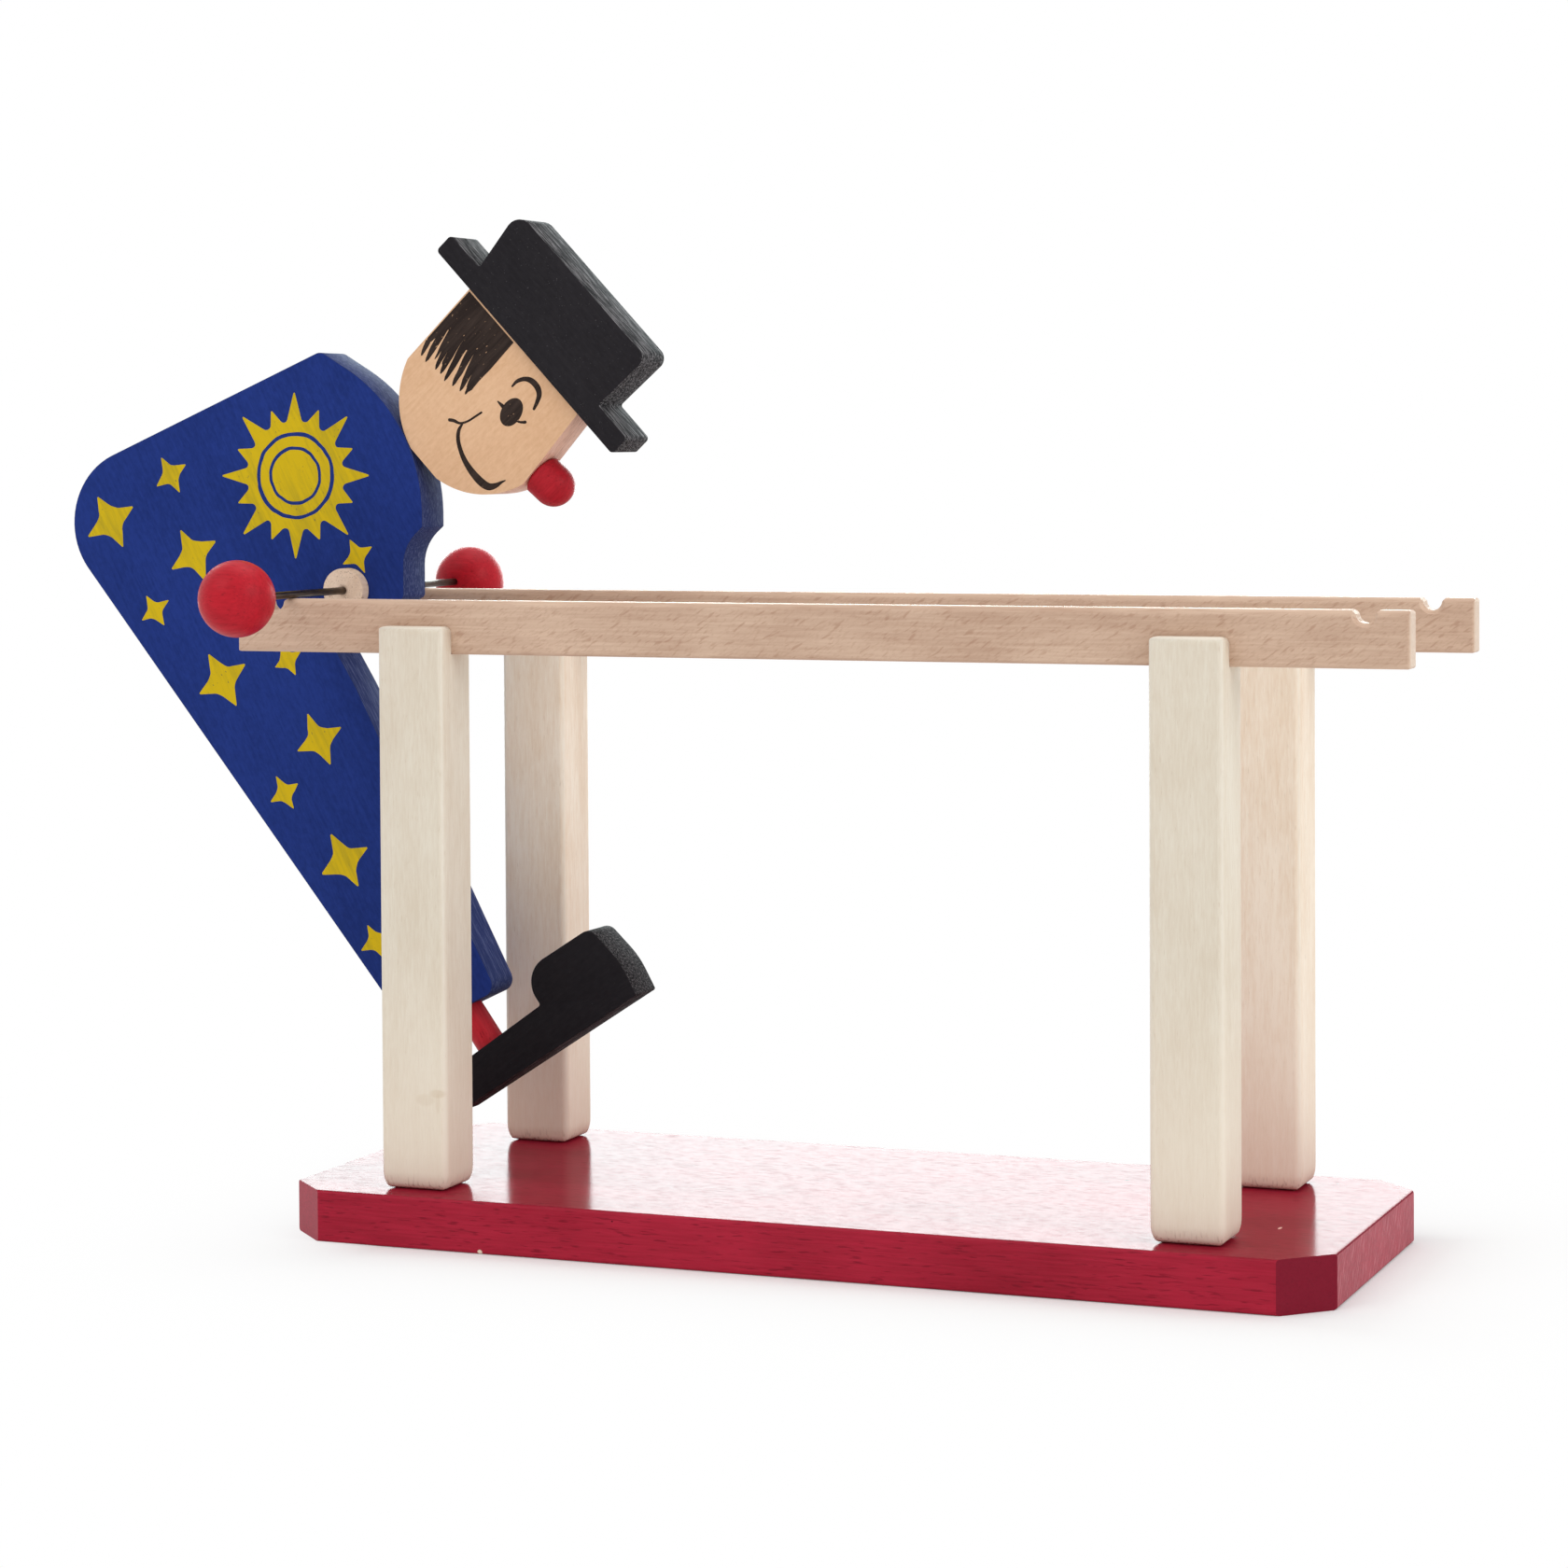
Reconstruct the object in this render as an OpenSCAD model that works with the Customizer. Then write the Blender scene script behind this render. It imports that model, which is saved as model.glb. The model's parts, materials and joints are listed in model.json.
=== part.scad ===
// Wooden acrobat toy: a clown on a thin axle that tumbles along a pair of parallel bars.
// Units are millimetres. The origin is the centre of the base's underside, +X runs along
// the bars, the front is at -Y and +Z is up.

/* [Base board] */
// Length of the base board, along the bars
base_len = 280; // [240:1:320]
// Depth of the base board, front to back
base_depth = 108; // [98:1:130]
// Thickness of the base board
base_thick = 13.5; // [10:0.5:18]
// Leg of the 45 degree cut at each corner of the base board
base_corner = 12; // [6:0.5:18]

/* [Posts] */
// Distance from each end of the base board to the middle of its posts
post_inset = 36; // [28:1:50]
// Distance from the front and back sides of the base board to the middle of its posts
post_side = 16.5; // [14:0.5:19]
// Width of a post along the bars
post_width = 19; // [15:0.5:21]
// Depth of a post, front to back
post_depth = 17; // [15:0.5:20]
// Height of the slot's floor, which the bar lies on, above the base board
ledge_height = 139.7; // [134:0.1:160]
// How far the two cheeks beside the slot rise above its floor
cheek_height = 7.3; // [4:0.1:10]

/* [Bars] */
// Length of each bar
bar_len = 315; // [300:1:340]
// Height of each bar
bar_height = 14; // [10:0.5:18]
// Thickness of each bar
bar_thick = 6.5; // [5:0.5:8.5]
// Distance from a bar's end to the middle of its notch
notch_inset = 11; // [8:0.1:16]
// Width of the round-bottomed notch that catches the axle
notch_dia = 4.8; // [4:0.1:6]
// Depth of that notch
notch_depth = 3.2; // [2.6:0.1:5]
// Width of the eased edge around the notch
notch_ease = 1; // [0.4:0.1:1.3]
// Radius of the long edges on top of a bar, beside the strip that the axle rolls on
bar_top_round = 1.9; // [1.1:0.1:2]

/* [Axle] */
// Diameter of the steel rod
rod_dia = 2; // [1.6:0.1:3]
// Distance between the centres of the two balls
ball_pitch = 136; // [126:1:150]
// Diameter of the wooden balls
ball_dia = 20; // [16:0.5:24]
// Diameter of the dowel that carries the rod through the body
bush_dia = 12; // [9:0.5:15]
// Length of that dowel
bush_len = 20; // [16:0.5:26]

/* [Clown] */
// Thickness of the body board
body_thick = 13; // [9:0.5:14]
// Thickness of the head
head_thick = 12; // [9:0.5:14]
// Thickness of the hat
hat_thick = 15; // [12:0.25:20]
// Thickness of the shoe
shoe_thick = 13; // [9:0.5:16]
// Angle of the hat brim, the clown looking down to the right
head_tilt = -47; // [-52:0.5:-42]
// Angle of the neck, which joins the head to the shoulder
neck_angle = 25.5; // [20:0.5:32]
// Diameter of the nose
nose_dia = 11.6; // [9:0.1:13]
// How far the nose stands out of the face
nose_len = 10.8; // [8:0.1:13]
// Diameter of the leg dowel
leg_dia = 8; // [6:0.5:10]

/* [Joinery] */
// Diameter of the hidden dowels in the neck and the hat
dowel_dia = 5; // [4:0.5:6]
// Radial gap of a glued dowel in its hole
glue_gap = 0.02; // [0.01:0.01:0.05]
// Radial gap of the rod where the figure turns on it
rod_play = 0.05; // [0.03:0.01:0.1]
// Height of the rod over the bars, so that it rolls without cutting them
roll_gap = 0.05; // [0.02:0.01:0.1]

/* [Hidden] */
$fn = 96;
// A small overlap where two shapes join, and the spare length of a cutter past what it cuts
e = 0.01;
over = 1;
// The posts keep their distances from the ends and sides of the base board.
post_pitch = base_len - 2 * post_inset;
post_row = base_depth - 2 * post_side;
bar_bottom = base_thick + ledge_height;
bar_top = bar_bottom + bar_height;
// Each bar lies in the slots of its two posts, on their middle line.
bar_y = post_row / 2;
notch_x = bar_len / 2 - notch_inset;
// The rod rests on the bars just inside the left notch.
rest_inset = 0.8;
axle_x = -notch_x + notch_dia / 2 + notch_ease + rest_inset;
axle_z = bar_top + rod_dia / 2 + roll_gap;
rod_len = ball_pitch + ball_dia * 0.5;
// Outline of the body, [x, z, corner radius] from the axle, as the clown hangs at rest
body_outline = [
    [-8.2, 65, 2.8], [-98.6, 26.4, 20.5], [17.6, -120, 3], [43.4, -107.6, 3.5], [1.8, -26.6, 60],
    [-5.3, -14.8, 2.5], [16.6, -1.9, 1.5], [16.6, 12.1, 12], [22.4, 17.2, 0.6], [22.4, 46.6, 46]
];
// Corners of that outline: the two ends of the hem, and the shoulder under the head
hem = [xy(body_outline[2]), xy(body_outline[3])];
shoulder = 9;
shoulder_r = body_outline[shoulder][2];
shoulder_at = fillet(body_outline, shoulder)[3];
// The head is round below, with a flat chin and sides that run up to the hat.
head_r = 25.3;
chin = -24.7;
brim = 18;
nape = [[-23.3, chin], [-24.5, brim]];
face = [[26.2, chin], [21.7, brim]];
head_at = shoulder_at + (shoulder_r + head_r + glue_gap) * heading(neck_angle);
neck_at = shoulder_at + shoulder_r * heading(neck_angle);
neck_len = 20;
nose_height = -3.1;
nose_at = [face[0][0] + (face[1][0] - face[0][0]) * (nose_height - chin) / (brim - chin), nose_height];
nose_angle = atan2(face[0][0] - face[1][0], brim - chin);
nose_bevel = 0.8;
stem_len = 8;
stem_dia = 6;
// The hat is drawn in the head's own frame, from the middle of the brim's underside.
hat_outline = [
    [-38.3, 0, 1.2], [36.8, 0, 1.2], [36.8, 6, 1.2], [24.6, 6, 0.8], [25.2, 24.6, 3],
    [-29, 24.6, 4.2], [-26.1, 6, 0.8], [-38.3, 6, 1.2]
];
hat_dowel_at = [-1, brim];
hat_dowel_len = 16;
// The shoe is drawn from the point where the leg enters it, with its top along x.
shoe_at = [38.9, -123.3];
shoe_tilt = 35.5;
shoe_outline = [
    [-18, 0, 1.5], [-18, -10.2, 2], [46.8, -13.1, 0.6], [48, -3.5, 25], [45.8, 8.9, 3.2],
    [21.4, 10.1, 7.5], [21.6, 0, 0.8]
];
// The leg stands square on the shoe and runs up into the hem.
leg_angle = shoe_tilt + 90;
leg_bare = reach(shoe_at, heading(leg_angle), hem[0], hem[1]);
leg_in_shoe = 8;
leg_in_body = 11;
// Blind holes are a little deeper than what is glued into them.
hole_spare = 0.5;
screw_dia = 3.5;
screw_head = 7;
screw_cone = 2.6;
screw_len = 34;
screw_tip = 4;
screw_tip_dia = 0.6;
screw_sink = 0.4;
screw_clear = 0.5;
sink_clear = 1.2;
sink_depth = 3.4;
pilot_spare = 1.5;
// The cross in a screw's head
cross_len = 4;
cross_width = 0.9;
cross_depth = 1.6;
// Each fillet's arc reaches this far past its tangent points, so that it crosses the sides cleanly.
arc_lap = 0.002;
post_round = 1.8;
bar_round = 0.9;
base_round = 0.9;

maple = [0.88, 0.83, 0.76];
beech = [0.81, 0.66, 0.54];
skin = [0.90, 0.72, 0.56];
red = [0.70, 0.10, 0.17];
black = [0.12, 0.12, 0.13];
blue = [0.13, 0.20, 0.52];
steel = [0.35, 0.35, 0.37];

// Outlines

function xy(p) = [p[0], p[1]];
function unit(v) = v / norm(v);
function heading(a) = [cos(a), sin(a)];
// Distance from a point, along a heading, to the line through a and b
function reach(p, dir, a, b) = let (n = [a[1] - b[1], b[0] - a[0]]) ((a - p) * n) / (dir * n);
// Fillet of corner i of an outline: its start, the bare corner, its end and its centre.
function fillet(p, i) = let (
    n = len(p),
    b = xy(p[i]),
    d1 = unit(xy(p[(i + n - 1) % n]) - b),
    d2 = unit(xy(p[(i + 1) % n]) - b),
    half = acos(d1 * d2) / 2,
    t = p[i][2] / tan(half)
) [b + d1 * t, b, b + d2 * t, b + unit(d1 + d2) * p[i][2] / sin(half)];
function is_hollow(p, i) = let (
    n = len(p),
    a = xy(p[i]) - xy(p[(i + n - 1) % n]),
    b = xy(p[(i + 1) % n]) - xy(p[i])
) a[0] * b[1] - a[1] * b[0] < 0;

// The slice of a fillet's circle that lies between its chord and its corner.
module fillet_slice(f, r) {
    intersection() {
        polygon([f[0], f[1], f[2]]);
        translate(f[3]) circle(r + arc_lap);
    }
}

// An outline of straight sides and true arcs, from [x, y, corner radius] run anticlockwise.
module outline(p) {
    f = [for (i = [0 : len(p) - 1]) fillet(p, i)];
    difference() {
        union() {
            polygon([for (c = f) each [c[0], c[2]]]);
            for (i = [0 : len(p) - 1]) if (!is_hollow(p, i)) fillet_slice(f[i], p[i][2]);
        }
        for (i = [0 : len(p) - 1]) if (is_hollow(p, i)) fillet_slice(f[i], p[i][2]);
    }
}

// A board that stands on edge: the outline in the X-Z plane, thick along Y.
module board(thick) {
    rotate([90, 0, 0]) linear_extrude(height = thick, center = true) children();
}

// A round rod along a direction in the X-Z plane, from a point, over a length.
module rod_along(at, angle, from, to, dia) {
    translate([at[0], 0, at[1]]) rotate([0, 90 - angle, 0]) translate([0, 0, from])
        cylinder(d = dia, h = to - from);
}

module round_rect(w, h, r) {
    square([w, h - 2 * r], center = true);
    square([w - 2 * r, h], center = true);
    for (x = [-1, 1], y = [-1, 1]) translate([x * (w / 2 - r), y * (h / 2 - r)]) circle(r);
}

// A block with every edge rounded, standing on the X-Y plane. Its section across X is given as a child.
module round_block(w, d, h, r) {
    translate([0, 0, h / 2]) intersection() {
        linear_extrude(height = h + 2 * over, center = true) round_rect(w, d, r);
        rotate([90, 0, 0]) linear_extrude(height = d + 2 * over, center = true) round_rect(w, h, r);
        rotate([90, 0, 90]) linear_extrude(height = w + 2 * over, center = true) children();
    }
}

// Stand

module screw_hole(dia, depth) {
    translate([0, 0, -e]) cylinder(d = dia, h = depth + e);
}

module base_board() {
    c = base_corner;
    x = base_len / 2;
    y = base_depth / 2;
    color(red) difference() {
        intersection() {
            linear_extrude(height = base_thick) polygon([
                [-x + c, -y], [x - c, -y], [x, -y + c], [x, y - c],
                [x - c, y], [-x + c, y], [-x, y - c], [-x, -y + c]
            ]);
            translate([0, 0, base_thick / 2]) rotate([90, 0, 0])
                linear_extrude(height = base_depth + 2 * over, center = true)
                    round_rect(base_len, base_thick, base_round);
            translate([0, 0, base_thick / 2]) rotate([90, 0, 90])
                linear_extrude(height = base_len + 2 * over, center = true)
                    round_rect(base_depth, base_thick, base_round);
        }
        at_posts() {
            screw_hole(screw_dia + screw_clear, base_thick + over);
            translate([0, 0, -e])
                cylinder(d1 = screw_head + sink_clear, d2 = screw_dia + screw_clear, h = sink_depth);
        }
    }
}

module at_posts() {
    for (x = [-1, 1], y = [-1, 1]) translate([x * post_pitch / 2, y * post_row / 2, 0]) children();
}

// A post with a slot across its top, in which the bar lies between two cheeks.
module post(side, row) {
    post_height = ledge_height + cheek_height;
    slot = bar_thick + 2 * glue_gap;
    color(maple) translate([side * post_pitch / 2, row * post_row / 2, base_thick]) difference() {
        round_block(post_width, post_depth, post_height, post_round)
            round_rect(post_depth, post_height, post_round);
        translate([-post_width, -slot / 2, ledge_height]) cube([2 * post_width, slot, cheek_height + over]);
        screw_hole(screw_dia + 2 * glue_gap, screw_len - base_thick + pilot_spare);
    }
}

module screw() {
    difference() {
        union() {
            cylinder(d1 = screw_head, d2 = screw_dia, h = screw_cone);
            cylinder(d = screw_dia, h = screw_len - screw_tip);
            translate([0, 0, screw_len - screw_tip])
                cylinder(d1 = screw_dia, d2 = screw_tip_dia, h = screw_tip);
        }
        for (a = [0, 90]) rotate([0, 0, a]) translate([-cross_len / 2, -cross_width / 2, -e])
            cube([cross_len, cross_width, cross_depth + e]);
    }
}

module post_screws() {
    color(steel) at_posts() translate([0, 0, screw_sink]) screw();
}

// A notch is a cross-drilled hole opened upwards, with its edges eased on the faces and on top.
module notch() {
    r = notch_dia / 2;
    translate([0, 0, r - notch_depth]) {
        rotate([90, 0, 0]) cylinder(r = r, h = bar_thick + 2 * over, center = true);
        translate([-r, -bar_thick / 2 - over, 0]) cube([notch_dia, bar_thick + 2 * over, notch_depth]);
        for (side = [0, 1]) mirror([0, side, 0]) translate([0, -bar_thick / 2, 0]) rotate([-90, 0, 0])
            translate([0, 0, -over]) cylinder(r1 = r + notch_ease + over, r2 = r, h = notch_ease + over);
    }
    board(bar_thick + 2 * over)
        polygon([[-r - notch_ease, e], [-r, -notch_ease], [r, -notch_ease], [r + notch_ease, e]]);
}

module bar() {
    y = bar_thick / 2;
    z = bar_height / 2;
    color(beech) difference() {
        translate([0, 0, bar_bottom]) round_block(bar_len, bar_thick, bar_height, bar_round)
            outline([[-y, -z, bar_round], [y, -z, bar_round], [y, z, bar_top_round], [-y, z, bar_top_round]]);
        for (end = [-1, 1]) translate([end * notch_x, 0, bar_top]) notch();
    }
}

module front_bar() {
    translate([0, -bar_y, 0]) bar();
}

module back_bar() {
    translate([0, bar_y, 0]) bar();
}

// Axle

module at_axle() {
    translate([axle_x, 0, axle_z]) children();
}

module axle_rod() {
    color(steel) at_axle() rotate([90, 0, 0]) cylinder(d = rod_dia, h = rod_len, center = true);
}

module ball(side) {
    color(red) at_axle() difference() {
        translate([0, side * ball_pitch / 2, 0]) sphere(d = ball_dia);
        rotate([90, 0, 0]) cylinder(d = rod_dia + 2 * glue_gap, h = rod_len + 2 * hole_spare, center = true);
    }
}

module axle_bush() {
    color(beech) at_axle() difference() {
        rotate([90, 0, 0]) cylinder(d = bush_dia, h = bush_len, center = true);
        rotate([90, 0, 0]) cylinder(d = rod_dia + 2 * rod_play, h = bush_len + 2 * over, center = true);
    }
}

// Clown

module body_board() {
    color(blue) at_axle() difference() {
        board(body_thick) outline(body_outline);
        rotate([90, 0, 0]) cylinder(d = bush_dia + 2 * glue_gap, h = body_thick + 2 * over, center = true);
        rod_along(neck_at, neck_angle, -neck_len / 2 - hole_spare, neck_len, dowel_dia + 2 * glue_gap);
        rod_along(shoe_at, leg_angle, 0, leg_bare + leg_in_body + hole_spare, leg_dia + 2 * glue_gap);
    }
}

module neck_dowel() {
    color(beech) at_axle() rod_along(neck_at, neck_angle, -neck_len / 2, neck_len / 2, dowel_dia);
}

// The head's own frame: x towards the face, y up to the hat, at the centre of the round.
module at_head() {
    at_axle() translate([head_at[0], 0, head_at[1]]) rotate([0, -head_tilt, 0]) children();
}

module head() {
    color(skin) difference() {
        at_head() board(head_thick) intersection() {
            union() {
                circle(head_r);
                translate([-head_r, 0]) square([2 * head_r, brim]);
            }
            polygon([nape[0], face[0], face[1], nape[1]]);
        }
        at_head() {
            rod_along(hat_dowel_at, 90, -hat_dowel_len / 2 - hole_spare, hat_dowel_len, dowel_dia + 2 * glue_gap);
            rod_along(nose_at, nose_angle, -stem_len - hole_spare, nose_len, stem_dia + 2 * glue_gap);
        }
        at_axle()
            rod_along(neck_at, neck_angle, -neck_len, neck_len / 2 + hole_spare, dowel_dia + 2 * glue_gap);
    }
}

// A turned plug: a stem that is glued in the face and a round-ended knob.
module nose() {
    r = nose_dia / 2;
    color(red) at_head() translate([nose_at[0], 0, nose_at[1]]) rotate([0, 90 - nose_angle, 0])
    rotate_extrude() {
        translate([0, -stem_len]) square([stem_dia / 2, stem_len + over]);
        polygon([[0, 0], [r - nose_bevel, 0], [r, nose_bevel], [r, nose_len - r], [0, nose_len - r]]);
        intersection() {
            translate([0, nose_len - r]) circle(r);
            translate([0, nose_len - r - e]) square([r, r + 2 * e]);
        }
    }
}

module hat() {
    color(black) at_head() difference() {
        translate([0, 0, brim]) board(hat_thick) outline(hat_outline);
        rod_along(hat_dowel_at, 90, -hat_dowel_len, hat_dowel_len / 2 + hole_spare, dowel_dia + 2 * glue_gap);
    }
}

module hat_dowel() {
    color(beech) at_head() rod_along(hat_dowel_at, 90, -hat_dowel_len / 2, hat_dowel_len / 2, dowel_dia);
}

module leg_dowel() {
    color(red) at_axle() rod_along(shoe_at, leg_angle, -leg_in_shoe, leg_bare + leg_in_body, leg_dia);
}

module shoe() {
    color(black) at_axle() difference() {
        translate([shoe_at[0], 0, shoe_at[1]]) rotate([0, -shoe_tilt, 0])
            board(shoe_thick) outline(shoe_outline);
        rod_along(shoe_at, leg_angle, -leg_in_shoe - hole_spare, leg_bare, leg_dia + 2 * glue_gap);
    }
}

base_board();
post(-1, -1);  // front_left_post
post(1, -1);  // front_right_post
post(-1, 1);  // back_left_post
post(1, 1);  // back_right_post
post_screws();
front_bar();
back_bar();
axle_rod();
ball(-1);  // front_ball
ball(1);  // back_ball
axle_bush();
body_board();
neck_dowel();
head();
nose();
hat();
hat_dowel();
leg_dowel();
shoe();
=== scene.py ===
import json
import math

import bmesh
import bpy
from mathutils import Matrix, Vector


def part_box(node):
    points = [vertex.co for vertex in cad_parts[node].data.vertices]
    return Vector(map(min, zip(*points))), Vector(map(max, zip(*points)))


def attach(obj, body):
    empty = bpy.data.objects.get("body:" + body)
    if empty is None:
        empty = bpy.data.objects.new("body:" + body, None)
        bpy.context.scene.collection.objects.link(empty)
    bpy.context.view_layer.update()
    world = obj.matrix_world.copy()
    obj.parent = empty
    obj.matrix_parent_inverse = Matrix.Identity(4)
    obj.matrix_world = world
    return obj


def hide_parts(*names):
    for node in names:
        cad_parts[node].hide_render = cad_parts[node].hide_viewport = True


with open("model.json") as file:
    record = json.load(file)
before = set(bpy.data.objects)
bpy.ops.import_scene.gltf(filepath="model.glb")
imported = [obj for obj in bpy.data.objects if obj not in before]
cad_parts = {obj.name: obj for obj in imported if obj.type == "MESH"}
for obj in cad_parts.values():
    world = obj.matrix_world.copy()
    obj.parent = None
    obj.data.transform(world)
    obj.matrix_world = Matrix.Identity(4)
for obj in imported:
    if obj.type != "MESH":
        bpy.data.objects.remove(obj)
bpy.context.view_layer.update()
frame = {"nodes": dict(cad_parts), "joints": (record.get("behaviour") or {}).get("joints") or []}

MM = 0.001
# The axle about which the clown turns, and how far from it the faces of its boards lie
AXLE = Vector(next(joint["pos_m"] for joint in frame["joints"] if joint["name"] == "somersault"))
BODY_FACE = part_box("body_board")[1].y
HEAD_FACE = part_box("head")[1].y
# The head's own frame, from the axle in mm: the centre of its round, and the tilt of the brim
HEAD_AT = Vector((40.77, 51.29))
HEAD_TILT = math.radians(-47)
# Printed ink stands a hair proud of the wood and reaches a little into it.
INK_PROUD = 0.03 * MM
INK_SUNK = 0.01 * MM
# Points that are closer than this are one point, in the CAD meshes and in the prints.
CAD_WELD = 0.002 * MM
INK_WELD = 0.0005 * MM
# An edge that turns by more than this is drawn sharp.
SHARP_TURN = math.radians(35)
# Turns that lay a pattern's long direction along each piece's grain
ALONG_X = (0.0, 0.0, 0.0)
ALONG_Y = (0.0, 0.0, math.radians(90))
ALONG_Z = (0.0, math.radians(90), 0.0)
BODY_GRAIN = (0.0, math.radians(63), 0.0)
HEAD_GRAIN = (0.0, math.radians(-43), 0.0)
HAT_GRAIN = (0.0, math.radians(47), 0.0)
SHOE_GRAIN = (0.0, math.radians(-35.5), 0.0)


# Node trees

def srgb(red, green, blue):
    """A colour as the eye reads it, 0 to 255, in the linear values that the nodes take."""
    def linear(c):
        c = c / 255
        return c / 12.92 if c <= 0.04045 else ((c + 0.055) / 1.055) ** 2.4
    return (linear(red), linear(green), linear(blue), 1.0)


def open_socket(sockets, key):
    """A node's socket by its number, or by its name among those in use."""
    if isinstance(key, int):
        return sockets[key]
    return next(s for s in sockets if s.name == key and s.enabled)


def put(tree, kind, inputs=None, **settings):
    """One node, with its settings, and its inputs given as values or as sockets to link."""
    made = tree.nodes.new(kind)
    for key, value in settings.items():
        setattr(made, key, value)
    for key, value in (inputs or {}).items():
        entry = open_socket(made.inputs, key)
        if isinstance(value, bpy.types.NodeSocket):
            tree.links.new(value, entry)
        else:
            entry.default_value = value
    return made


def times(tree, one, other):
    return put(tree, "ShaderNodeMath", {0: one, 1: other}, operation="MULTIPLY").outputs[0]


def plus(tree, one, other):
    return put(tree, "ShaderNodeMath", {0: one, 1: other}, operation="ADD").outputs[0]


def less(tree, one, other):
    return put(tree, "ShaderNodeMath", {0: one, 1: other}, operation="SUBTRACT").outputs[0]


def larger(tree, one, other):
    return put(tree, "ShaderNodeMath", {0: one, 1: other}, operation="MAXIMUM").outputs[0]


def mixed(tree, first, *others):
    """Patterns added together, each given with its share."""
    pattern, share = first
    part = times(tree, pattern, share)
    return plus(tree, part, mixed(tree, *others)) if others else part


def on_vectors(tree, operation, *given, result="Vector"):
    """One step of arithmetic on vectors, by the node's own name for it."""
    step = put(tree, "ShaderNodeVectorMath", dict(enumerate(given)), operation=operation)
    return step.outputs[result]


def between(tree, value, low, high, out_low=0.0, out_high=1.0):
    """Spreads the part of a pattern between two levels over an output range."""
    return put(tree, "ShaderNodeMapRange", {
        "Value": value,
        "From Min": low,
        "From Max": high,
        "To Min": out_low,
        "To Max": out_high,
    }).outputs["Result"]


def tint(tree, amount, under, over):
    """Lays one colour over another by an amount."""
    return put(tree, "ShaderNodeMix", {0: amount, 6: under, 7: over}, data_type="RGBA").outputs[2]


def wash(tree, under, pattern, strength, over):
    """Lays one colour over another where a pattern is, at most so strongly."""
    return tint(tree, times(tree, pattern, strength), under, over)


def figure(tree, turn, seed, length, scale, detail=3, rough=0.55, distort=0.0):
    """Noise fixed to the object, drawn out so many times longer along the grain."""
    along = put(tree, "ShaderNodeMapping", {
        "Vector": put(tree, "ShaderNodeTexCoord").outputs["Object"],
        "Location": (seed, seed * 0.7, -seed),
        "Rotation": turn,
        "Scale": (length, 1.0, 1.0),
    }, vector_type="TEXTURE").outputs["Vector"]
    return put(tree, "ShaderNodeTexNoise", {
        "Vector": along,
        "Scale": scale,
        "Detail": detail,
        "Roughness": rough,
        "Distortion": distort,
    }).outputs["Fac"]


def scattered(tree, turn, seed, length, scale, low, high, rough=0.4, distort=0.0, most=1.0):
    """Separate marks along the grain, such as pores and flecks: 0 between them, and at most so much."""
    pattern = figure(tree, turn, seed, length, scale, 1, rough, distort)
    return between(tree, pattern, low, high, 0.0, most)


def looks_to(tree, axis):
    """How far the surface looks along an axis, from -1 to 1."""
    place = put(tree, "ShaderNodeTexCoord")
    return put(tree, "ShaderNodeSeparateXYZ", {0: place.outputs["Normal"]}).outputs[axis]


def facing(tree, axis, low, high):
    """1 where the surface looks along an axis, either way, and 0 where it turns from it."""
    toward = put(tree, "ShaderNodeMath", {0: looks_to(tree, axis)}, operation="ABSOLUTE").outputs[0]
    return between(tree, toward, low, high)


def height_up(tree):
    place = put(tree, "ShaderNodeTexCoord")
    return put(tree, "ShaderNodeSeparateXYZ", {0: place.outputs["Object"]}).outputs["Z"]


def mark(tree, centre, reach):
    """1 within a small mark at a point of the object, that reaches so far along each axis, in mm."""
    place = put(tree, "ShaderNodeTexCoord").outputs["Object"]
    away = on_vectors(tree, "SUBTRACT", place, tuple(c * MM for c in centre))
    away = on_vectors(tree, "MULTIPLY", away, tuple(1 / (r * MM) for r in reach))
    return between(tree, on_vectors(tree, "LENGTH", away, result="Value"), 1.0, 0.6)


def relief(tree, shader, height, strength, distance, entry="Normal"):
    """Raises a pattern off the surface by up to so many mm, for the shader or for its coat."""
    bump = put(tree, "ShaderNodeBump", {
        "Height": height,
        "Strength": strength,
        "Distance": distance * MM,
    })
    tree.links.new(bump.outputs["Normal"], shader.inputs[entry])


# Finishes

def finish_named(name, shine=0.5, metallic=0.0, coat=0.0, coat_roughness=0.1, coat_ior=1.5):
    """A finish without its colour, roughness and relief, and the tree and shader to give it them."""
    finish = bpy.data.materials.new(name)
    finish.use_nodes = True
    tree = finish.node_tree
    tree.nodes.clear()
    shader = put(tree, "ShaderNodeBsdfPrincipled", {
        "Specular IOR Level": shine,
        "Metallic": metallic,
        "Coat Weight": coat,
        "Coat Roughness": coat_roughness,
        "Coat IOR": coat_ior,
    })
    output = put(tree, "ShaderNodeOutputMaterial")
    tree.links.new(shader.outputs["BSDF"], output.inputs["Surface"])
    return finish, tree, shader


def colour_and_grip(tree, shader, colour, lines, roughness, spread):
    """Links a finish's colour, and a roughness that follows its lines."""
    tree.links.new(colour, shader.inputs["Base Color"])
    rough = between(tree, lines, 0.3, 0.7, roughness - spread, roughness + spread)
    tree.links.new(rough, shader.inputs["Roughness"])


# The parts of a small knot low on the front left post: centre and reach in mm, and strength
KNOT = [
    ((-97.0, -46.0, 39.2), (2.6, 3.0, 1.3), 0.35),
    ((-96.8, -46.0, 36.8), (0.7, 3.0, 3.4), 0.2),
    ((-100.4, -46.0, 37.4), (3.2, 3.0, 1.9), 0.2),
]


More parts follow.
